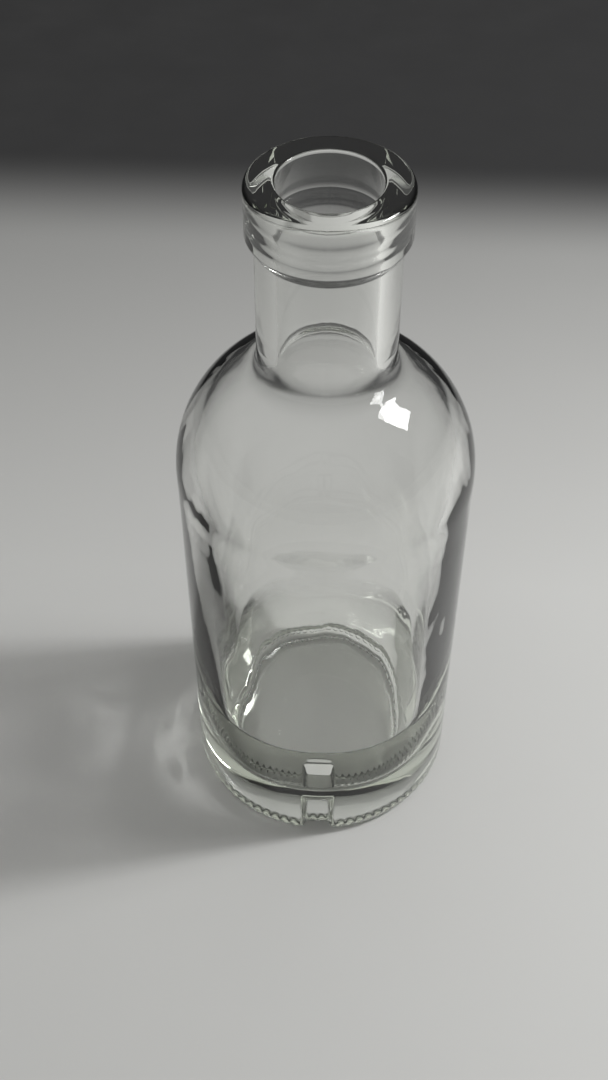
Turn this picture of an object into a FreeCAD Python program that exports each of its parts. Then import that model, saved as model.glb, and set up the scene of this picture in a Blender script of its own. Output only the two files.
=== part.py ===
"""A small round spirit bottle in clear glass, built as one turned solid.

The glass wall is drawn once, as a closed half section from the dome under the base, round the
outside and over the rim, down the bore and back across the inner floor.  The inner wall leans in a
little down to a bend above the base, where the glass grows much thicker towards the floor.
Revolving the section about Z makes the bottle, and a tapered pocket in the heel makes the slot that
a filling line turns bottles by.
Millimetres, +Z up, origin on the axis in the plane that the bottle stands on.
"""
import FreeCAD, Part
import math
import os

import Sketcher
from FreeCAD import Vector

# name, size in millimetres (or degrees), what it is
SIZES = [
    ("bottle_height", 158.0, "foot to the top of the rim"),
    ("body_radius", 30.0, "outside of the bands below the shoulder and round the heel"),
    ("panel_recess", 0.12, "how far the label panel lies inside those bands"),
    ("panel_ease", 8.0, "height of the slope between shoulder and panel"),
    ("band_height", 10.0, "top of the band round the heel"),
    ("band_ease", 14.0, "height of the slope between that band and the panel"),
    ("shoulder_start", 93.0, "height at which the shoulder begins to curve in"),
    ("shoulder_radius", 28.0, "outside curve of the shoulder"),
    ("neck_fillet", 5.0, "curve at the foot of the neck"),
    ("neck_radius", 13.2, "outside of the neck"),
    ("rim_radius", 14.75, "outside of the collar at the mouth"),
    ("collar_height", 9.8, "straight side and rounding of the collar"),
    ("collar_slope", 2.3, "height of the cone under the collar"),
    ("rim_round", 1.4, "rounding of the outer rim edge"),
    ("lip_round", 0.6, "rounding of the inner rim edge"),
    ("bore_radius", 9.25, "bore that takes the stopper"),
    ("throat_round", 9.0, "curve where the bore opens into the shoulder"),
    ("wall", 3.3, "glass of the body wall where the shoulder starts"),
    ("wall_lean", 1.6, "lean of the inner wall down to the bend, in degrees"),
    ("shoulder_wall", 2.8, "glass of the shoulder"),
    ("bend_start", 30.5, "height at which the inner wall bends in towards the floor"),
    ("bend_round", 6.0, "curve of that bend"),
    ("bend_lean", 14.5, "lean of the inner wall just below the bend, in degrees"),
    ("taper", 11.0, "lean of the inner wall just above the floor, in degrees"),
    ("taper_rise", 5.5, "top of that straight taper above the inner floor"),
    ("floor_height", 10.0, "inner floor above the foot"),
    ("corner_round", 4.5, "curve between inner floor and wall"),
    ("heel_round", 2.8, "outer curve of the heel"),
    ("ring_width", 2.2, "flat ring that the bottle stands on"),
    ("dome_rise", 3.5, "rise of the hollow under the base"),
    ("slot_width", 7.1, "slot in the heel, across its mouth"),
    ("slot_height", 14.0, "top of the slot above the foot"),
    ("slot_depth", 3.0, "depth of the slot from the outer band"),
    ("slot_taper", 15.0, "slope of the slot's sides, in degrees"),
    ("slot_run_out", 6.0, "how far the cut runs out below the foot"),
]
SIZE = {name: value for name, value, _ in SIZES}
ORIGIN_POINT = (-1, 1)
VERTICAL_AXIS = (-2,)


def make_sheet(doc):
    """Write the driving dimensions into a spreadsheet, one named cell each."""
    sheet = doc.addObject("Spreadsheet::Sheet", "Sizes")
    for row, (name, value, meaning) in enumerate(SIZES, start=1):
        sheet.set(f"A{row}", str(value))
        sheet.setAlias(f"A{row}", name)
        sheet.set(f"B{row}", meaning)
    doc.recompute()
    return sheet


def origin_plane(body, role):
    """The body's own origin plane with this role, such as XZ_Plane."""
    return next(item for item in body.Origin.OriginFeatures if item.Role == role)


def line(sketch, start, end):
    return sketch.addGeometry(Part.LineSegment(Vector(*start, 0), Vector(*end, 0)), False)


def arc(sketch, centre, radius, from_degrees, to_degrees):
    """An arc that runs anticlockwise; point 1 is its start, 2 its end and 3 its centre."""
    circle = Part.Circle(Vector(*centre, 0), Vector(0, 0, 1), radius)
    bounds = math.radians(from_degrees), math.radians(to_degrees)
    return sketch.addGeometry(Part.ArcOfCircle(circle, *bounds), False)


def drive(sketch, kind, geometry, value, expression):
    """Add a dimension and tie it to an expression of the sheet's cells."""
    index = sketch.addConstraint(Sketcher.Constraint(kind, *geometry, value))
    name = f"dim{index}"
    sketch.renameConstraint(index, name)
    sketch.setExpression(f"Constraints.{name}", expression)


def constrain(sketch, kind, *geometry):
    sketch.addConstraint(Sketcher.Constraint(kind, *geometry))


def glass_section(body):
    """The closed half section of the glass, x out from the axis and y up."""
    size = SIZE
    sketch = body.newObject("Sketcher::SketchObject", "GlassSection")
    sketch.AttachmentSupport = (origin_plane(body, "XZ_Plane"), [""])
    sketch.MapMode = "FlatFace"

    height = size["bottle_height"]
    outer = size["body_radius"]
    panel = outer - size["panel_recess"]
    neck = size["neck_radius"]
    rim = size["rim_radius"]
    bore = size["bore_radius"]
    inner = outer - size["wall"]
    start = size["shoulder_start"]
    floor = size["floor_height"]
    heel = size["heel_round"]
    foot = outer - heel
    ring = foot - size["ring_width"]
    rise = size["dome_rise"]

    # Where the two pairs of touching arcs meet, for the sketch's first guess.
    def blend(big_centre, big_radius, small_centre_x, small_radius):
        reach = big_radius + small_radius
        out = small_centre_x - big_centre[0]
        up = math.sqrt(reach**2 - out**2)
        return big_centre[1] + up, math.degrees(math.atan2(up, out))

    outer_arc = size["shoulder_radius"]
    inner_arc = outer_arc - size["shoulder_wall"]
    fillet = size["neck_fillet"]
    throat = size["throat_round"]
    lean = math.radians(size["wall_lean"])
    inner_centre = (inner - inner_arc * math.cos(lean), start + inner_arc * math.sin(lean))
    fillet_z, fillet_turn = blend((outer - outer_arc, start), outer_arc, neck + fillet, fillet)
    throat_z, throat_turn = blend(inner_centre, inner_arc, bore + throat, throat)
    dome = (ring**2 + rise**2) / (2 * rise)
    dome_turn = math.degrees(math.asin(ring / dome))
    rounding = size["rim_round"]
    lip = size["lip_round"]
    corner = size["corner_round"]
    bend = size["bend_round"]
    bend_start = size["bend_start"]
    bend_lean = math.radians(size["bend_lean"])
    taper = math.radians(size["taper"])
    low_inner = inner - (start - bend_start) * math.tan(lean)
    bend_centre = (low_inner - bend * math.cos(lean), bend_start + bend * math.sin(lean))
    # A long hollow curve eases the bend's lean into the taper; it touches the bend on the line
    # between their centres, and its radius follows from the heights of its two ends.
    bend_end_z = bend_centre[1] - bend * math.sin(bend_lean)
    taper_top_z = floor + size["taper_rise"]
    hollow = (bend_end_z - taper_top_z) / (math.sin(bend_lean) - math.sin(taper))
    hollow_x = bend_centre[0] + (bend + hollow) * math.cos(bend_lean)
    hollow_z = bend_centre[1] - (bend + hollow) * math.sin(bend_lean)
    taper_top = (hollow_x - hollow * math.cos(taper), taper_top_z)
    taper_end_z = floor + corner * (1 - math.sin(taper))
    taper_end = (taper_top[0] - (taper_top[1] - taper_end_z) * math.tan(taper), taper_end_z)
    corner_x = taper_end[0] - corner * math.cos(taper)
    collar_top = height - rounding
    collar_foot = height - size["collar_height"]
    cone_foot = collar_foot - size["collar_slope"]
    band = size["band_height"]
    panel_foot = band + size["band_ease"]
    panel_head = start - size["panel_ease"]

    under = arc(sketch, (0, rise - dome), dome, 90 - dome_turn, 90)
    stand = line(sketch, (ring, 0), (foot, 0))
    heel_arc = arc(sketch, (foot, heel), heel, -90, 0)
    low_band = line(sketch, (outer, heel), (outer, band))
    low_slope = line(sketch, (outer, band), (panel, panel_foot))
    label = line(sketch, (panel, panel_foot), (panel, panel_head))
    high_slope = line(sketch, (panel, panel_head), (outer, start))
    shoulder = arc(sketch, (outer - outer_arc, start), outer_arc, 0, fillet_turn)
    neck_foot = arc(sketch, (neck + fillet, fillet_z), fillet, 180, 180 + fillet_turn)
    neck_side = line(sketch, (neck, fillet_z), (neck, cone_foot))
    cone = line(sketch, (neck, cone_foot), (rim, collar_foot))
    collar = line(sketch, (rim, collar_foot), (rim, collar_top))
    rim_arc = arc(sketch, (rim - rounding, collar_top), rounding, 0, 90)
    top = line(sketch, (rim - rounding, height), (bore + lip, height))
    lip_arc = arc(sketch, (bore + lip, height - lip), lip, 90, 180)
    bore_side = line(sketch, (bore, height - lip), (bore, throat_z))
    throat_arc = arc(sketch, (bore + throat, throat_z), throat, 180, 180 + throat_turn)
    inner_shoulder = arc(sketch, inner_centre, inner_arc, -size["wall_lean"], throat_turn)
    inner_side = line(sketch, (inner, start), (low_inner, bend_start))
    bend_arc = arc(sketch, bend_centre, bend, -size["bend_lean"], -size["wall_lean"])
    hollow_arc = arc(sketch, (hollow_x, hollow_z), hollow, 180 - size["bend_lean"], 180 - size["taper"])
    taper_side = line(sketch, taper_top, taper_end)
    corner_arc = arc(sketch, (corner_x, floor + corner), corner, -90, -size["taper"])
    floor_line = line(sketch, (corner_x, floor), (0, floor))
    axis_line = line(sketch, (0, floor), (0, rise))

    # Corners that stay sharp.
    constrain(sketch, "Coincident", under, 1, stand, 1)
    constrain(sketch, "Coincident", low_band, 2, low_slope, 1)
    constrain(sketch, "Coincident", low_slope, 2, label, 1)
    constrain(sketch, "Coincident", label, 2, high_slope, 1)
    constrain(sketch, "Coincident", high_slope, 2, shoulder, 1)
    constrain(sketch, "Coincident", neck_side, 2, cone, 1)
    constrain(sketch, "Coincident", cone, 2, collar, 1)
    constrain(sketch, "Coincident", floor_line, 2, axis_line, 1)
    constrain(sketch, "Coincident", axis_line, 2, under, 2)
    # Curves that run smoothly into their neighbours.
    constrain(sketch, "Tangent", stand, 2, heel_arc, 1)
    constrain(sketch, "Tangent", heel_arc, 2, low_band, 1)
    constrain(sketch, "Tangent", shoulder, 2, neck_foot, 2)
    constrain(sketch, "Tangent", neck_foot, 1, neck_side, 1)
    constrain(sketch, "Tangent", collar, 2, rim_arc, 1)
    constrain(sketch, "Tangent", rim_arc, 2, top, 1)
    constrain(sketch, "Tangent", top, 2, lip_arc, 1)
    constrain(sketch, "Tangent", lip_arc, 2, bore_side, 1)
    constrain(sketch, "Tangent", bore_side, 2, throat_arc, 1)
    constrain(sketch, "Tangent", throat_arc, 2, inner_shoulder, 2)
    constrain(sketch, "Tangent", inner_shoulder, 1, inner_side, 1)
    constrain(sketch, "Tangent", inner_side, 2, bend_arc, 2)
    constrain(sketch, "Tangent", bend_arc, 1, hollow_arc, 1)
    constrain(sketch, "Tangent", hollow_arc, 2, taper_side, 1)
    constrain(sketch, "Tangent", taper_side, 2, corner_arc, 2)
    constrain(sketch, "Tangent", corner_arc, 1, floor_line, 1)
    # Directions.
    for upright in (low_band, label, neck_side, collar, bore_side):
        constrain(sketch, "Vertical", upright)
    for level in (stand, top, floor_line):
        constrain(sketch, "Horizontal", level)
    constrain(sketch, "PointOnObject", axis_line, 1, *VERTICAL_AXIS)
    constrain(sketch, "PointOnObject", axis_line, 2, *VERTICAL_AXIS)
    constrain(sketch, "PointOnObject", under, 3, *VERTICAL_AXIS)
    constrain(sketch, "PointOnObject", stand, 1, -1)

    def across(point, value, expression):
        drive(sketch, "DistanceX", (*ORIGIN_POINT, *point), value, expression)

    def up(point, value, expression):
        drive(sketch, "DistanceY", (*ORIGIN_POINT, *point), value, expression)

    # Distances out from the axis.
    across((low_band, 2), outer, "Sizes.body_radius")
    across((label, 1), panel, "Sizes.body_radius - Sizes.panel_recess")
    across((high_slope, 2), outer, "Sizes.body_radius")
    across((neck_side, 1), neck, "Sizes.neck_radius")
    across((collar, 1), rim, "Sizes.rim_radius")
    across((bore_side, 1), bore, "Sizes.bore_radius")
    across((inner_side, 1), inner, "Sizes.body_radius - Sizes.wall")
    lean_in = "(Sizes.shoulder_start - Sizes.bend_start) * tan(Sizes.wall_lean * 1deg)"
    across((inner_side, 2), low_inner, f"Sizes.body_radius - Sizes.wall - {lean_in}")
    drive(sketch, "DistanceX", (stand, 1, stand, 2), size["ring_width"], "Sizes.ring_width")
    # Heights above the foot.
    up((axis_line, 2), rise, "Sizes.dome_rise")
    up((axis_line, 1), floor, "Sizes.floor_height")
    up((low_band, 2), band, "Sizes.band_height")
    up((label, 1), panel_foot, "Sizes.band_height + Sizes.band_ease")
    up((label, 2), panel_head, "Sizes.shoulder_start - Sizes.panel_ease")
    up((high_slope, 2), start, "Sizes.shoulder_start")
    up((shoulder, 3), start, "Sizes.shoulder_start")
    up((inner_side, 1), start, "Sizes.shoulder_start")
    up((inner_side, 2), bend_start, "Sizes.bend_start")
    bend_up = "Sizes.bend_start + Sizes.bend_round * sin(Sizes.wall_lean * 1deg)"
    bend_drop = "Sizes.bend_round * sin(Sizes.bend_lean * 1deg)"
    up((bend_arc, 1), bend_end_z, f"{bend_up} - {bend_drop}")
    up((taper_side, 1), taper_top_z, "Sizes.floor_height + Sizes.taper_rise")
    up((collar, 1), collar_foot, "Sizes.bottle_height - Sizes.collar_height")
    up((cone, 1), cone_foot, "Sizes.bottle_height - Sizes.collar_height - Sizes.collar_slope")
    up((top, 1), height, "Sizes.bottle_height")
    # Radii.
    radii = [
        (heel_arc, heel, "Sizes.heel_round"),
        (shoulder, outer_arc, "Sizes.shoulder_radius"),
        (neck_foot, fillet, "Sizes.neck_fillet"),
        (rim_arc, rounding, "Sizes.rim_round"),
        (lip_arc, lip, "Sizes.lip_round"),
        (throat_arc, throat, "Sizes.throat_round"),
        (inner_shoulder, inner_arc, "Sizes.shoulder_radius - Sizes.shoulder_wall"),
        (bend_arc, bend, "Sizes.bend_round"),
        (corner_arc, corner, "Sizes.corner_round"),
    ]
    for curve, radius, expression in radii:
        drive(sketch, "Radius", (curve,), radius, expression)
    drive(sketch, "Angle", (taper_side, 1, bore_side, 1), taper, "Sizes.taper * 1deg")
    return sketch


def turn_glass(body, section):
    """Revolve the half section once round the upright axis."""
    glass = body.newObject("PartDesign::Revolution", "TurnedGlass")
    glass.Profile = section
    glass.ReferenceAxis = (section, ["V_Axis"])
    glass.Angle = 360
    section.Visibility = False
    return glass


def heel_slot(body):
    """A slot in the front of the heel, open below, that narrows as it goes in."""
    size = SIZE
    sketch = body.newObject("Sketcher::SketchObject", "SlotMouth")
    sketch.AttachmentSupport = (origin_plane(body, "XZ_Plane"), [""])
    sketch.MapMode = "FlatFace"
    sketch.setExpression("AttachmentOffset.Base.z", "Sizes.body_radius")
    half = size["slot_width"] / 2
    top = size["slot_height"]
    low = -size["slot_run_out"]
    corners = [(-half, low), (half, low), (half, top), (-half, top)]
    sides = [line(sketch, a, b) for a, b in zip(corners, corners[1:] + corners[:1])]
    bottom, right, head, left = sides
    for one, other in zip(sides, sides[1:] + sides[:1]):
        constrain(sketch, "Coincident", one, 2, other, 1)
    for level in (bottom, head):
        constrain(sketch, "Horizontal", level)
    for upright in (right, left):
        constrain(sketch, "Vertical", upright)
    drive(sketch, "DistanceX", (*ORIGIN_POINT, right, 1), half, "Sizes.slot_width / 2")
    drive(sketch, "DistanceX", (head, 2, head, 1), 2 * half, "Sizes.slot_width")
    drive(sketch, "DistanceY", (*ORIGIN_POINT, head, 1), top, "Sizes.slot_height")
    drive(sketch, "DistanceY", (right, 1, right, 2), top - low, "Sizes.slot_height + Sizes.slot_run_out")

    slot = body.newObject("PartDesign::Pocket", "HeelSlot")
    slot.Profile = sketch
    slot.setExpression("Length", "Sizes.slot_depth")
    slot.setExpression("TaperAngle", "-Sizes.slot_taper")
    sketch.Visibility = False
    return slot


def check(doc, bodies):
    """Stop on any failed object, or on a body whose shape is missing or broken."""
    for item in doc.Objects:
        bad = [state for state in item.State if state in ("Invalid", "Error")]
        if bad:
            raise RuntimeError(f"{item.Name} is {bad}")
    for body in bodies:
        shape = body.Shape
        if shape.isNull() or not shape.isValid() or len(shape.Solids) != 1:
            raise RuntimeError(f"{body.Label} has no single valid solid")


def main():
    doc = FreeCAD.newDocument("Bottle")
    make_sheet(doc)
    body = doc.addObject("PartDesign::Body", "Bottle")
    body.Label = "bottle"
    section = glass_section(body)
    doc.recompute()
    glass = turn_glass(body, section)
    doc.recompute()
    whole = glass.Shape.Volume
    heel_slot(body)
    doc.recompute()
    if not body.Shape.Volume < whole:
        raise RuntimeError("the slot cut nothing")
    check(doc, [body])
    os.makedirs("parts", exist_ok=True)
    body.Shape.exportStep(os.path.join("parts", body.Label + ".step"))
    volume = body.Shape.Volume
    print(f"{body.Label}: {volume / 1000:.1f} cm3 of glass, slot {whole - volume:.1f} mm3")


main()
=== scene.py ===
"""The looks of a small round spirit bottle in clear glass, laid out as a Blender add-on.

The glass is one closed surface of revolution, worked out with numpy from a profile, with the slot
in its heel, the beaded ring that it stands on, the two mould seams and the uneven inner wall that
blown glass has.  A pale table, a dark backdrop, two lamps and the camera make the stage.
"""
import math

import bpy
import numpy as np
from bpy.props import FloatProperty, FloatVectorProperty, IntProperty, PointerProperty
from mathutils import Matrix, Vector


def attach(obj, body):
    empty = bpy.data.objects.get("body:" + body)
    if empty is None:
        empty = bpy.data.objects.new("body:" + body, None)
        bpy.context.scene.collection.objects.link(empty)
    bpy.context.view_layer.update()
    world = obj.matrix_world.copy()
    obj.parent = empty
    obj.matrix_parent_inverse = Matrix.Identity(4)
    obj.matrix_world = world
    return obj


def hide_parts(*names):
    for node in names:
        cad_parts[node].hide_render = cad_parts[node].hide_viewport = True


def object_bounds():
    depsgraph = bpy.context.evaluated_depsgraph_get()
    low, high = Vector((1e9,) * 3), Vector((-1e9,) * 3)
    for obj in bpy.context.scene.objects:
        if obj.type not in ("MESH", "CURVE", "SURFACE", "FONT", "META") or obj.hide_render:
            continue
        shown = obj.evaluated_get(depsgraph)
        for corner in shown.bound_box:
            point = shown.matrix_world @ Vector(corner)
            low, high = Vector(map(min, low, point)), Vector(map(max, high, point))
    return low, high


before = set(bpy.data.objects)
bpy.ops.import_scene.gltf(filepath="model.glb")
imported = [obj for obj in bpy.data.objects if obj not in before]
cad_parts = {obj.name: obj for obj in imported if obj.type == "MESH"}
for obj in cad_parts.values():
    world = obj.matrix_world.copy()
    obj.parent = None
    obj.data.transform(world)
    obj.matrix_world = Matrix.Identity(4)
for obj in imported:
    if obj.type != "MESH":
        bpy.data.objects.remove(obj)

bl_info = {
    "name": "Small round spirit bottle",
    "version": (1, 0, 0),
    "blender": (4, 5, 0),
    "location": "3D View > Sidebar > Bottle",
    "description": "Makes a clear glass spirit bottle and its stage around a fixed frame",
    "category": "Object",
}

MM = 0.001
NODE = "bottle"
CAD_LOW, CAD_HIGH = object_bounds()

CRISP = 0.3 * MM  # how near to an edge the next row of points lies
COLUMNS_PER_BEAD = 6
BORE_RING_WIDTH = 0.5 * MM
SEAM_WIDTH, SEAM_RIDGE = 0.35 * MM, 0.06 * MM
# Slow waves of the inner wall: how many lobes, where they start, how they turn as they rise, and
# how strong they are.
WAVES = (5, 1.3, 0.7, 1.0), (9, 0.7, -1.0, 0.7), (14, 0.0, 1.7, 0.45)

TABLE_HALF = 3.0
TABLE_DROP = 0.1 * MM  # keeps the table clear of the glass that stands on it
AWAY = Vector((0.06, 1, 0))  # the direction in which the painted shade on the table deepens and the table ends
PAINTED_TABLE_SHADE = 0.05, 0.30, 0.35  # painted shade on the table: where its colour starts and stops darkening, and what is left of it
TABLE_END = 0.20, 0.26  # where it gives way to the backdrop
CEILING_RISE = -0.1, 0.8  # heights of the view between which the room brightens

AIM_HEIGHT = 0.4  # what the lamps point at, as a share of the bottle's height
KEY_PLACE = Vector((0.445, 0.055, 0.52))
WINDOW_PLACE = Vector((0.455, 0.055, 0.53))
WINDOW_SIZE = 0.16, 0.20
CAMERA_PLACE = Vector((-0.0043, -0.1992, 0.2864))
CAMERA_TILT = 42.55
CAMERA_LENS = 45.9
NEAREST_SEEN = 0.01


# ---------------------------------------------------------------- properties

def length(name, description, millimetres):
    """A length property whose default is given in millimetres."""
    return FloatProperty(
        name=name, description=description, default=millimetres * MM, unit="LENGTH", precision=5)


def lean(name, description, degrees):
    """An angle property whose default is given in degrees."""
    return FloatProperty(
        name=name, description=description, default=math.radians(degrees), subtype="ANGLE")


def number(name, description, value):
    """A plain number of zero or more."""
    return FloatProperty(name=name, description=description, default=value, min=0.0)


def power(name, description, watts):
    """A lamp's power."""
    return FloatProperty(name=name, description=description, default=watts, unit="POWER")


def colour(name, description, rgb):
    """A colour, or a light's strength in each of the three."""
    return FloatVectorProperty(
        name=name, description=description, default=rgb, subtype="COLOR", min=0.0, max=1.0)


class BottleShape(bpy.types.PropertyGroup):
    """Sizes of the turned glass."""
    height: length("Height", "Foot to the top of the rim", CAD_HIGH.z / MM)
    body: length("Body radius", "Outside of the body at its widest", CAD_HIGH.y / MM)
    panel_recess: length("Panel recess", "How far the panel lies inside the body radius", 0.12)
    panel_ease: length("Panel ease", "Height of the slope from the shoulder to the panel", 8.0)
    band: length("Band height", "Top of the band round the heel", 10.0)
    band_ease: length("Band ease", "Height of the slope from the band to the panel", 14.0)
    shoulder_start: length("Shoulder start", "Height at which the shoulder curves in", 93.0)
    shoulder: length("Shoulder radius", "Outside curve of the shoulder", 28.0)
    shoulder_wall: length("Shoulder wall", "Glass of the shoulder", 2.8)
    neck_fillet: length("Neck fillet", "Curve at the foot of the neck", 5.0)
    neck: length("Neck radius", "Outside of the neck", 13.2)
    rim: length("Rim radius", "Outside of the collar at the mouth", 14.75)
    collar: length("Collar height", "Straight side and rounding of the collar", 9.8)
    collar_slope: length("Collar slope", "Height of the cone under the collar", 2.3)
    rim_round: length("Rim rounding", "Rounding of the outer rim edge", 1.4)
    lip_round: length("Lip rounding", "Rounding of the inner rim edge", 0.6)
    bore: length("Bore radius", "Bore that takes the stopper", 9.25)
    throat: length("Throat rounding", "Curve where the bore opens into the shoulder", 9.0)
    wall: length("Wall", "Glass of the body wall below the shoulder", 3.3)
    wall_lean: lean("Wall lean", "Lean of the inner wall, which makes it thicker lower down", 1.6)
    bend_start: length("Bend start", "Height at which the inner wall bends in", 30.5)
    bend: length("Bend rounding", "Curve of that bend", 6.0)
    bend_lean: lean("Bend lean", "Lean of the inner wall just below the bend", 14.5)
    taper: lean("Taper", "Lean of the inner wall just above the floor", 11.0)
    taper_rise: length("Taper rise", "Top of that straight taper above the inner floor", 5.5)
    floor: length("Inner floor", "Inner floor above the foot", 10.0)
    corner: length("Inner corner", "Curve between inner floor and wall", 4.5)
    heel: length("Heel rounding", "Outer curve of the heel", 2.8)
    ring: length("Ring width", "Ring that the bottle stands on", 2.2)
    dome: length("Dome rise", "Rise of the hollow under the base", 3.5)
    slot_width: length("Slot width", "Slot in the heel, across its mouth", 7.1)
    slot_height: length("Slot height", "Top of the slot above the foot", 14.0)
    slot_depth: length("Slot depth", "Depth of the slot from the outer band", 3.0)
    slot_taper: lean("Slot taper", "Slope of the slot's sides", 15.0)
    knurls: IntProperty(name="Beads", description="Beads round the foot", default=76, min=12)
    knurl_depth: length("Bead depth", "How far the beads stand out from the ring and heel", 0.5)
    bore_ring: length("Bore rings", "Depth of the groove and the ridge round the bore", 0.12)
    oval: length("Oval", "How much narrower the cavity's foot is from side to side", 1.2)
    squareness: length("Squareness", "How far the cavity's foot leans to a square", 0.8)
    waviness: length("Waviness", "Unevenness of the inner body wall", 0.12)


class GlassLook(bpy.types.PropertyGroup):
    """Colour and surface of the glass."""
    tint: colour("Tint", "Colour that thick glass leans to", (0.76, 0.90, 0.56))
    density: number("Tint density", "How fast the tint deepens per metre", 7.0)
    bend_of_light: number("Index of refraction", "How strongly the glass bends light", 1.52)
    ripple: length("Ripple", "Height of the faint ripples in the glass's skin", 0.03)
    wear: number("Wear", "Roughness where the skin is rubbed and dusty", 0.02)


class StageLook(bpy.types.PropertyGroup):
    """Table, backdrop, lamps and camera."""
    table: colour("Table", "Colour of the table", (0.60, 0.60, 0.585))
    backdrop: colour("Backdrop", "Colour of what lies beyond the table", (0.025, 0.025, 0.026))
    ceiling: colour("Ceiling", "Light that comes from above", (0.43, 0.43, 0.425))
    horizon: colour("Horizon", "Light that comes from the sides", (0.05, 0.05, 0.05))
    key_power: power("Key lamp", "Power of the key lamp", 1.7)
    key_size: length("Key lamp size", "Side of the key lamp's square", 50.0)
    turn: lean("Turn", "How far camera and lamps stand turned about the bottle", 2.4)
    window_power: power("Window", "Power of the soft panel beside the key lamp", 1.4)


# ---------------------------------------------------------------- numpy shapes

def arc_points(centre, radius, from_degrees, to_degrees, count):
    """Points on a circle: centre + radius (cos a, sin a), a evenly spaced between two angles."""
    angle = np.radians(np.linspace(from_degrees, to_degrees, count))
    return np.stack([centre[0] + radius * np.cos(angle), centre[1] + radius * np.sin(angle)], -1)


def line_points(start, end, count):
    """Points along a line, start (1 - t) + end t, bunched at its ends: t = (1 - cos u) / 2."""
    t = (0.5 - 0.5 * np.cos(np.linspace(0.0, math.pi, count)))[:, None]
    return np.array(start) * (1 - t) + np.array(end) * t


def touching_arcs(z, big_x, big_radius, small_x, small_radius):
    """Height of a small arc's centre that touches a big one from outside, and the turn to it.

    Height z + up, where up^2 = (sum of the radii)^2 - (distance across)^2.
    """
    up = math.sqrt((big_radius + small_radius)**2 - (small_x - big_x)**2)
    return z + up, math.degrees(math.atan2(up, small_x - big_x))


def outer_profile(s):
    """Half section of the outside, from the dome's middle round the heel and up to the rim's top.

    Radius and height of each point: an arc under the base, the ring, the heel's quarter arc, the
    straight band and panel, the shoulder's arc, the neck's fillet, and the collar.  The last
    number of each piece is how many points it has.
    """
    foot = s.body - s.heel
    ring = foot - s.ring
    dome = (ring**2 + s.dome**2) / (2 * s.dome)
    dome_turn = math.degrees(math.asin(ring / dome))
    panel = s.body - s.panel_recess
    fillet_z, fillet_turn = touching_arcs(
        s.shoulder_start, s.body - s.shoulder, s.shoulder, s.neck + s.neck_fillet, s.neck_fillet)
    collar_top = s.height - s.rim_round
    collar_foot = s.height - s.collar
    cone_foot = collar_foot - s.collar_slope
    high_step = s.shoulder_start - s.panel_ease
    low_step = s.band + s.band_ease
    slot_top = s.slot_height - s.slot_depth * math.tan(s.slot_taper)
    slope = np.concatenate([
        np.linspace(s.band, slot_top, 5), np.linspace(slot_top, s.slot_height, 5)[1:],
        np.linspace(s.slot_height, low_step, 6)[1:]])
    return np.concatenate([
        arc_points((0, s.dome - dome), dome, 90, 90 - dome_turn, 10)[1:],
        line_points((ring, 0), (foot, 0), 9)[1:],
        arc_points((foot, s.heel), s.heel, -90, 0, 13)[1:],
        line_points((s.body, s.heel), (s.body, s.band - CRISP), 8)[1:],
        np.stack([np.interp(slope, (s.band, low_step), (s.body, panel)), slope], -1),
        line_points((panel, low_step + CRISP), (panel, high_step - CRISP), 5),
        line_points((panel, high_step), (s.body, s.shoulder_start), 4),
        arc_points((s.body - s.shoulder, s.shoulder_start), s.shoulder, 0, fillet_turn, 24)[1:],
        arc_points(
            (s.neck + s.neck_fillet, fillet_z), s.neck_fillet, 180 + fillet_turn, 180, 8)[1:],
        line_points((s.neck, fillet_z), (s.neck, cone_foot - CRISP), 6)[1:],
        line_points((s.neck, cone_foot), (s.rim, collar_foot), 4),
        line_points((s.rim, collar_foot + CRISP), (s.rim, collar_top), 5),
        arc_points((s.rim - s.rim_round, collar_top), s.rim_round, 0, 90, 9)[1:],
    ])


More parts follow.
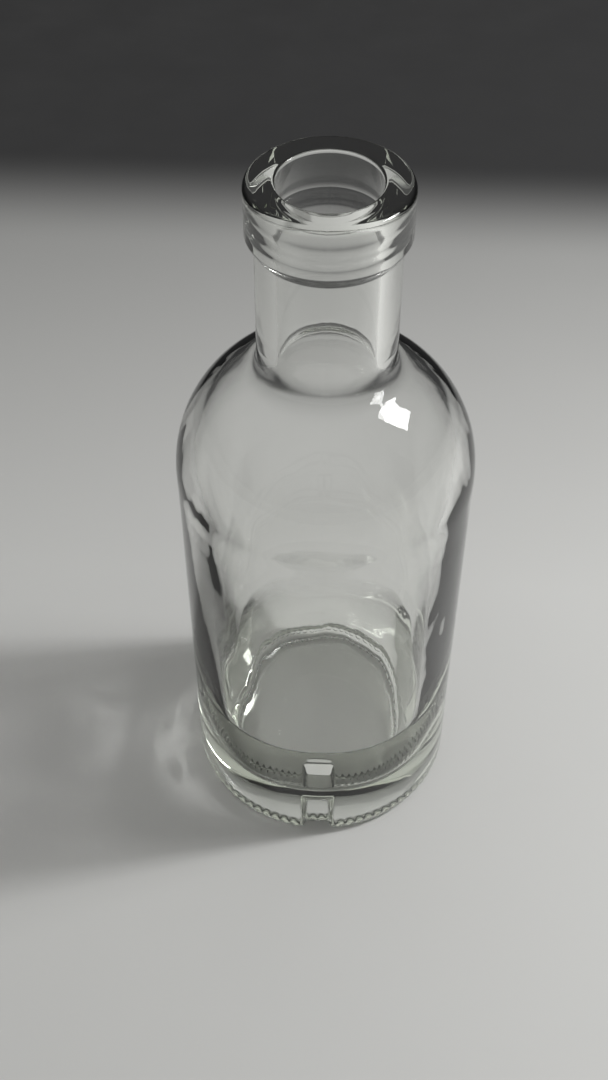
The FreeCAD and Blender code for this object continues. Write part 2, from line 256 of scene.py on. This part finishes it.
def inner_profile(s):
    """Half section of the inside, from the rim's top down the bore to the middle of the floor.

    The bore and the throat's arc, the shoulder's inner arc, the leaning wall, a short bend and a
    long hollow curve that lead to a tapered wall, the corner's arc, and the level floor.
    """
    inner = s.body - s.wall
    inner_arc = s.shoulder - s.shoulder_wall
    bore_foot = s.height - 1.2 * s.collar  # close rows above it carry the rings in the bore
    wall_lean = math.degrees(s.wall_lean)
    arc_x = inner - inner_arc * math.cos(s.wall_lean)
    arc_z = s.shoulder_start + inner_arc * math.sin(s.wall_lean)
    throat_z, throat_turn = touching_arcs(arc_z, arc_x, inner_arc, s.bore + s.throat, s.throat)
    low_x = inner - (s.shoulder_start - s.bend_start) * math.tan(s.wall_lean)
    bend_lean = math.degrees(s.bend_lean)
    taper = math.degrees(s.taper)
    bend_x = low_x - s.bend * math.cos(s.wall_lean)
    bend_z = s.bend_start + s.bend * math.sin(s.wall_lean)
    taper_z = s.floor + s.taper_rise
    hollow = bend_z - s.bend * math.sin(s.bend_lean) - taper_z
    hollow /= math.sin(s.bend_lean) - math.sin(s.taper)
    hollow_x = bend_x + (s.bend + hollow) * math.cos(s.bend_lean)
    hollow_z = bend_z - (s.bend + hollow) * math.sin(s.bend_lean)
    taper_x = hollow_x - hollow * math.cos(s.taper)
    end_z = s.floor + s.corner * (1 - math.sin(s.taper))
    end_x = taper_x - (taper_z - end_z) * math.tan(s.taper)
    corner_x = end_x - s.corner * math.cos(s.taper)
    return np.concatenate([
        line_points((s.rim - s.rim_round, s.height), (s.bore + s.lip_round, s.height), 5)[1:],
        arc_points((s.bore + s.lip_round, s.height - s.lip_round), s.lip_round, 90, 180, 6)[1:],
        line_points((s.bore, s.height - s.lip_round), (s.bore, bore_foot), 22)[1:],
        line_points((s.bore, bore_foot), (s.bore, throat_z), 6)[1:],
        arc_points((s.bore + s.throat, throat_z), s.throat, 180, 180 + throat_turn, 9)[1:],
        arc_points((arc_x, arc_z), inner_arc, throat_turn, -wall_lean, 19)[1:],
        line_points((inner, s.shoulder_start), (low_x, s.bend_start), 10)[1:],
        arc_points((bend_x, bend_z), s.bend, -wall_lean, -bend_lean, 8)[1:],
        arc_points((hollow_x, hollow_z), hollow, 180 - bend_lean, 180 - taper, 14)[1:],
        line_points((taper_x, taper_z), (end_x, end_z), 4)[1:],
        arc_points((corner_x, s.floor + s.corner), s.corner, -taper, -90, 12)[1:],
        line_points((corner_x, s.floor), (0, s.floor), 5)[1:-1],
    ])


def turn(profile, columns):
    """Grids of radius, height and angle: the profile turned about Z, starting at the front (-Y)."""
    angle = np.arange(columns) * (2 * math.pi / columns) - math.pi / 2
    return profile[:, :1] + 0 * angle, profile[:, 1:] + 0 * angle, angle


def knurl(s, radius, height, angle):
    """Beads round the foot: between them the glass is drawn back by 1/2 - 1/2 cos(knurls a).

    The ring that the bottle stands on is lifted so, all but its edges.  The heel is pressed in, in
    proportion to exp(-((z - 3/4 heel) / (1/5 heel))^2), which spares its lowest edge.
    """
    foot = s.body - s.heel
    wave = s.knurl_depth * (0.5 - 0.5 * np.cos(s.knurls * angle))
    across = (radius - foot + s.ring) / s.ring
    on_ring = np.clip(5 * across, 0, 1) * np.clip(4 * (1 - across), 0, 1) * (height < s.heel)
    on_heel = np.exp(-((height - 0.75 * s.heel) / (0.2 * s.heel))**2) * (radius > foot)
    return radius - wave * on_heel, height + wave * on_ring


def bore_rings(s, radius, height):
    """A groove and a ridge round the bore: exp(-(distance / width)^2) of their depth each."""
    foot = s.height - s.collar
    groove = np.exp(-((height - foot - 0.33 * s.collar) / BORE_RING_WIDTH)**2)
    ridge = np.exp(-((height - foot) / BORE_RING_WIDTH)**2)
    return radius + s.bore_ring * (groove - ridge)


def seams(s, radius, height, angle):
    """Two fine mould seams: a ridge exp(-(distance / width)^2) along the front and the back."""
    distance = radius * np.abs(np.cos(angle))
    clear = np.clip((height - s.slot_height) / s.slot_height, 0, 1)
    return radius + SEAM_RIDGE * np.exp(-(distance / SEAM_WIDTH)**2) * clear


def uneven_inside(s, radius, height, angle):
    """Blown glass is never even inside.

    Low down the section leans to a rounded square, narrower from side to side: radius
    - oval cos(2 a) - squareness cos(4 a), fading out upwards and towards the floor's middle.  From
    the floor to the shoulder the wall also carries slow waves: a sum of three sines of the angle,
    each turning a little with the height.
    """
    square_top, square_fade = 1.6 * s.bend_start, 0.8 * s.bend_start
    low = np.clip((square_top - height) / square_fade, 0, 1)
    low = low**2 * (3 - 2 * low)
    off_middle = np.clip(radius / (0.5 * s.body), 0, 1)**2
    square = -(s.oval * np.cos(2 * angle) + s.squareness * np.cos(4 * angle)) * low * off_middle
    tenth = 0.1 * s.height
    waves = sum(strength * np.sin(lobes * angle + start + turns * (height / tenth))
                for lobes, start, turns, strength in WAVES)
    below_throat = np.clip((0.70 * s.height - height) / tenth, 0, 1)
    above_floor = np.clip((height - s.floor) / (0.5 * s.floor), 0, 1)
    return radius + square + s.waviness * 0.5 * waves * below_throat * above_floor


def cut_slot(s, x, y, z):
    """Press the front of the heel back to a flat-bottomed slot with sloping sides.

    How deep a point may go is its distance from the slot's edge divided by the slope's tangent, at
    most the slot's depth; a point that lies further out than that moves back in along Y.
    """
    edge = np.minimum(s.slot_width / 2 - np.abs(x), s.slot_height - z)
    depth = np.clip(edge / math.tan(s.slot_taper), 0, s.slot_depth)
    inside = (y < 0) & (depth > 0) & (s.body + y < depth)
    return np.where(inside, depth - s.body, y)


def closed_mesh(name, grid, first_pole, last_pole):
    """A mesh of a grid of points that closes round its columns, with a fan at each of two poles."""
    rows, columns = grid.shape[:2]
    points = np.concatenate([grid.reshape(-1, 3), [first_pole, last_pole]])
    index = np.arange(rows * columns).reshape(rows, columns)
    after = np.roll(index, -1, 1)
    quads = np.stack([index[:-1], after[:-1], after[1:], index[1:]], -1).reshape(-1, 4)
    poles = rows * columns, rows * columns + 1
    first = np.stack([np.full(columns, poles[0]), after[0], index[0]], -1)
    last = np.stack([index[-1], after[-1], np.full(columns, poles[1])], -1)
    mesh = bpy.data.meshes.new(name)
    mesh.from_pydata(points.tolist(), [], quads.tolist() + first.tolist() + last.tolist())
    mesh.validate()
    mesh.shade_smooth()
    return mesh


def bottle_mesh(s):
    """The whole glass: the outside turned, beaded, seamed and cut, and then the inside."""
    columns = COLUMNS_PER_BEAD * s.knurls
    radius, height, angle = turn(outer_profile(s), columns)
    radius, height = knurl(s, radius, height, angle)
    radius = seams(s, radius, height, angle)
    x, y = radius * np.cos(angle), radius * np.sin(angle)
    outside = np.stack([x, cut_slot(s, x, y, height), height], -1)
    radius, height, angle = turn(inner_profile(s), columns)
    radius = bore_rings(s, uneven_inside(s, radius, height, angle), height)
    inside = np.stack([radius * np.cos(angle), radius * np.sin(angle), height], -1)
    return closed_mesh(NODE, np.concatenate([outside, inside]), (0, 0, s.dome), (0, 0, s.floor))


# ---------------------------------------------------------------- materials

def new_material(name):
    """A new material, its node tree and its shader."""
    material = bpy.data.materials.new(name)
    material.use_nodes = True
    return material, material.node_tree, material.node_tree.nodes["Principled BSDF"]


def mottle_group():
    """Shared effect: soft blotches on Object coordinates, as a value between Low and High."""
    group = bpy.data.node_groups.new("mottle", "ShaderNodeTree")
    new_socket = group.interface.new_socket
    for name, value in (("Scale", 50.0), ("Stretch", 1.0), ("Low", 0.0), ("High", 1.0)):
        socket = new_socket(name, in_out="INPUT", socket_type="NodeSocketFloat")
        socket.default_value = value
    new_socket("Value", in_out="OUTPUT", socket_type="NodeSocketFloat")
    given = group.nodes.new("NodeGroupInput")
    result = group.nodes.new("NodeGroupOutput")
    place = group.nodes.new("ShaderNodeTexCoord")
    shape = group.nodes.new("ShaderNodeCombineXYZ")
    shape.inputs["X"].default_value = shape.inputs["Y"].default_value = 1.0
    squeeze = group.nodes.new("ShaderNodeVectorMath")
    squeeze.operation = "MULTIPLY"
    noise = group.nodes.new("ShaderNodeTexNoise")
    noise.inputs["Detail"].default_value = 2.0
    spread = group.nodes.new("ShaderNodeMapRange")
    spread.inputs["From Min"].default_value = 0.3
    spread.inputs["From Max"].default_value = 0.7
    join = group.links.new
    join(given.outputs["Stretch"], shape.inputs["Z"])
    join(place.outputs["Object"], squeeze.inputs[0])
    join(shape.outputs["Vector"], squeeze.inputs[1])
    join(squeeze.outputs["Vector"], noise.inputs["Vector"])
    join(given.outputs["Scale"], noise.inputs["Scale"])
    join(noise.outputs["Fac"], spread.inputs["Value"])
    join(given.outputs["Low"], spread.inputs["To Min"])
    join(given.outputs["High"], spread.inputs["To Max"])
    join(spread.outputs["Result"], result.inputs["Value"])
    return group


def mottle(tree, group, **values):
    """Place the shared effect in a material with its own values."""
    node = tree.nodes.new("ShaderNodeGroup")
    node.node_tree = group
    for name, value in values.items():
        node.inputs[name].default_value = value
    return node.outputs["Value"]


def glass_material(look, group):
    """Clear glass: faint ripples drawn out along the bottle, a little rubbed here and there.

    Its tint deepens with thickness.
    """
    material, tree, surface = new_material("clear glass")
    surface.inputs["Base Color"].default_value = (1, 1, 1, 1)
    surface.inputs["IOR"].default_value = look.bend_of_light
    surface.inputs["Transmission Weight"].default_value = 1.0
    rubbed = mottle(tree, group, Scale=90.0, Stretch=1.0, Low=-look.wear, High=look.wear)
    ripples = mottle(tree, group, Scale=110.0, Stretch=0.35, Low=0.0, High=1.0)
    bump = tree.nodes.new("ShaderNodeBump")
    bump.inputs["Distance"].default_value = look.ripple
    absorption = tree.nodes.new("ShaderNodeVolumeAbsorption")
    absorption.inputs["Color"].default_value = (*look.tint, 1)
    absorption.inputs["Density"].default_value = look.density
    tree.links.new(rubbed, surface.inputs["Roughness"])
    tree.links.new(ripples, bump.inputs["Height"])
    tree.links.new(bump.outputs["Normal"], surface.inputs["Normal"])
    tree.links.new(absorption.outputs["Volume"], tree.nodes["Material Output"].inputs["Volume"])
    return material


def table_material(look, away, group):
    """The pale table, with painted shade that darkens its colour slowly along the direction away,
    and which ends at the dark backdrop.
    """
    material, tree, surface = new_material("table")
    place = tree.nodes.new("ShaderNodeTexCoord")
    reach = tree.nodes.new("ShaderNodeVectorMath")
    reach.operation = "DOT_PRODUCT"
    reach.inputs[1].default_value = away
    tree.links.new(place.outputs["Object"], reach.inputs[0])

    def falloff(near, far, left, kind):
        """A value that falls from one to what is left, between a near and a far distance."""
        fade = tree.nodes.new("ShaderNodeMapRange")
        fade.interpolation_type = kind
        fade.inputs["From Min"].default_value = near
        fade.inputs["From Max"].default_value = far
        fade.inputs["To Min"].default_value = 1.0
        fade.inputs["To Max"].default_value = left
        tree.links.new(reach.outputs["Value"], fade.inputs["Value"])
        return fade.outputs["Result"]

    both = tree.nodes.new("ShaderNodeMath")
    both.operation = "MULTIPLY"
    # painted shade: the table's colour darkens slowly along the direction away, standing in for
    # light that falls off
    tree.links.new(falloff(*PAINTED_TABLE_SHADE, "LINEAR"), both.inputs[0])
    tree.links.new(falloff(*TABLE_END, 0.0, "SMOOTHSTEP"), both.inputs[1])
    mix = tree.nodes.new("ShaderNodeMix")
    mix.data_type = "RGBA"
    mix.inputs["A"].default_value = (*look.backdrop, 1)
    mix.inputs["B"].default_value = (*look.table, 1)
    tree.links.new(both.outputs["Value"], mix.inputs["Factor"])
    tree.links.new(mix.outputs["Result"], surface.inputs["Base Color"])
    grain = mottle(tree, group, Scale=35.0, Stretch=1.0, Low=0.45, High=0.6)
    tree.links.new(grain, surface.inputs["Roughness"])
    return material


def room_light(look):
    """The room: even light from the ceiling that dims towards the horizon and below."""
    world = bpy.data.worlds.new("room")
    world.use_nodes = True
    tree = world.node_tree
    place = tree.nodes.new("ShaderNodeTexCoord")
    axes = tree.nodes.new("ShaderNodeSeparateXYZ")
    rise = tree.nodes.new("ShaderNodeMapRange")
    rise.interpolation_type = "SMOOTHSTEP"
    rise.inputs["From Min"].default_value, rise.inputs["From Max"].default_value = CEILING_RISE
    mix = tree.nodes.new("ShaderNodeMix")
    mix.data_type = "RGBA"
    mix.inputs["A"].default_value = (*look.horizon, 1)
    mix.inputs["B"].default_value = (*look.ceiling, 1)
    tree.links.new(place.outputs["Generated"], axes.inputs["Vector"])
    tree.links.new(axes.outputs["Z"], rise.inputs["Value"])
    tree.links.new(rise.outputs["Result"], mix.inputs["Factor"])
    tree.links.new(mix.outputs["Result"], tree.nodes["Background"].inputs["Color"])
    return world


# ---------------------------------------------------------------- operators

def shared(name, make):
    """The node group of this name, made the first time it is asked for."""
    return bpy.data.node_groups.get(name) or make()


def link(name, data):
    """A new object with this data, in the scene."""
    item = bpy.data.objects.new(name, data)
    bpy.context.scene.collection.objects.link(item)
    return item


class BOTTLE_OT_glass(bpy.types.Operator):
    """Turn the glass and give it its material"""
    bl_idname = "bottle.glass"
    bl_label = "Make glass"

    def execute(self, context):
        scene = context.scene
        glass = link("glass", bottle_mesh(scene.bottle_shape))
        mottled = shared("mottle", mottle_group)
        glass.data.materials.append(glass_material(scene.bottle_glass, mottled))
        glass.cycles.is_caustics_caster = True
        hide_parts(NODE)
        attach(glass, "root")
        return {"FINISHED"}


def area_lamp(name, place, aim, width, height, watts):
    """A rectangular lamp at one place, pointed at another."""
    lamp = bpy.data.lights.new(name, "AREA")
    lamp.shape = "RECTANGLE"
    lamp.size, lamp.size_y = width, height
    lamp.energy = watts
    item = link(name, lamp)
    item.location = place
    item.rotation_euler = (aim - place).to_track_quat("-Z", "Y").to_euler()
    return item


class BOTTLE_OT_stage(bpy.types.Operator):
    """Lay the table and set the lamps and the camera"""
    bl_idname = "bottle.stage"
    bl_label = "Set stage"

    def execute(self, context):
        look = context.scene.bottle_stage
        turned = Matrix.Rotation(look.turn, 3, "Z")
        mesh = bpy.data.meshes.new("table")
        corners = [(x * TABLE_HALF, y * TABLE_HALF, -TABLE_DROP)
                   for x, y in ((-1, -1), (1, -1), (1, 1), (-1, 1))]
        mesh.from_pydata(corners, [], [(0, 1, 2, 3)])
        mottled = shared("mottle", mottle_group)
        mesh.materials.append(table_material(look, turned @ AWAY, mottled))
        table = link("table", mesh)
        table.cycles.is_caustics_receiver = True

        middle = Vector((0, 0, CAD_HIGH.z * AIM_HEIGHT))
        key = area_lamp("key", turned @ KEY_PLACE, middle,
                        look.key_size, look.key_size, look.key_power)
        key.data.cycles.is_caustics_light = True
        area_lamp("window", turned @ WINDOW_PLACE, middle, *WINDOW_SIZE, look.window_power)
        context.scene.world = room_light(look)

        lens = bpy.data.cameras.new("camera")
        lens.lens = CAMERA_LENS
        lens.clip_start = NEAREST_SEEN
        camera = link("camera", lens)
        camera.location = turned @ CAMERA_PLACE
        camera.rotation_euler = (math.radians(CAMERA_TILT), 0, look.turn)
        context.scene.camera = camera
        context.scene.view_settings.view_transform = "Standard"
        return {"FINISHED"}


class BOTTLE_PT_panel(bpy.types.Panel):
    """Sidebar panel that lists the bottle's makers"""
    bl_label = "Bottle"
    bl_idname = "BOTTLE_PT_panel"
    bl_space_type = "VIEW_3D"
    bl_region_type = "UI"
    bl_category = "Bottle"

    def draw(self, context):
        for maker in MAKERS:
            self.layout.operator(maker.bl_idname)


MAKERS = (BOTTLE_OT_glass, BOTTLE_OT_stage)
CLASSES = (BottleShape, GlassLook, StageLook, *MAKERS, BOTTLE_PT_panel)


def register():
    for each in CLASSES:
        bpy.utils.register_class(each)
    bpy.types.Scene.bottle_shape = PointerProperty(type=BottleShape)
    bpy.types.Scene.bottle_glass = PointerProperty(type=GlassLook)
    bpy.types.Scene.bottle_stage = PointerProperty(type=StageLook)


def unregister():
    del bpy.types.Scene.bottle_stage
    del bpy.types.Scene.bottle_glass
    del bpy.types.Scene.bottle_shape
    for each in reversed(CLASSES):
        bpy.utils.unregister_class(each)


def main():
    """Make every piece and the stage."""
    register()
    bpy.ops.bottle.glass()
    bpy.ops.bottle.stage()


if __name__ == "__main__":
    main()
